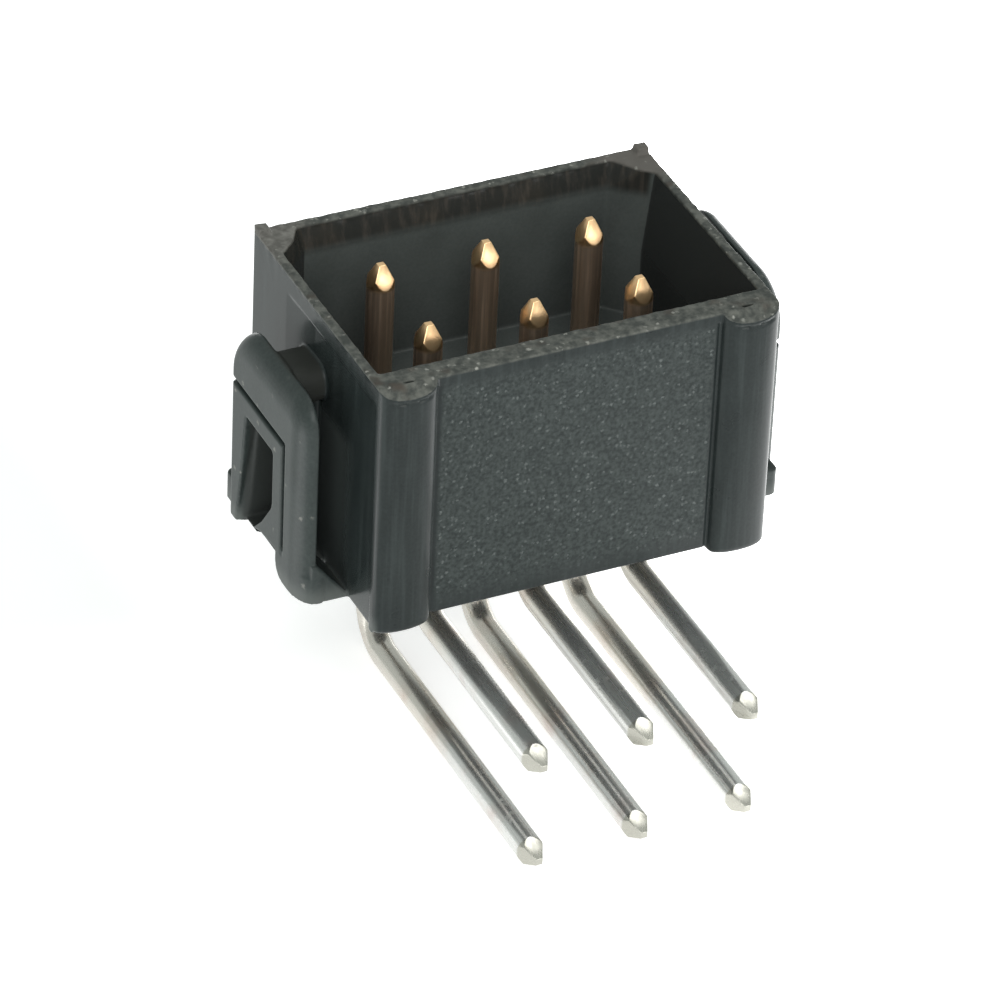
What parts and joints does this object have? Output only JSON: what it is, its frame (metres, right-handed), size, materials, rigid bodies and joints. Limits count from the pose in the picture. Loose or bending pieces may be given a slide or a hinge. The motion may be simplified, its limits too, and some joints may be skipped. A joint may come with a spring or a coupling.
{
  "type": "right-angle pin header",
  "caption": "Small right-angle latching pin header: a dark moulded shroud with keyed corners and latch ears around two rows of round contacts whose bent tails run out towards a board.",
  "frame": {"origin": "middle of the tail pattern, on the plane of the standoff faces that touch the board", "axes": "+Z is the mating direction, out of the shroud's opening; X runs along the contact rows; the tails leave along -Y, through the board"},
  "size_m": [0.0093, 0.0087, 0.0084],
  "materials": {
    "housing": "glass-filled moulding, finely eroded front panel and smoother ends",
    "contact": "gold-plated mating ends and bright tinned tails"
  },
  "bodies": {
    "root": {"housing": "housing", "pin_back_left": "contact", "pin_back_middle": "contact", "pin_back_right": "contact", "pin_front_left": "contact", "pin_front_middle": "contact", "pin_front_right": "contact"}
  },
  "joints": []
}
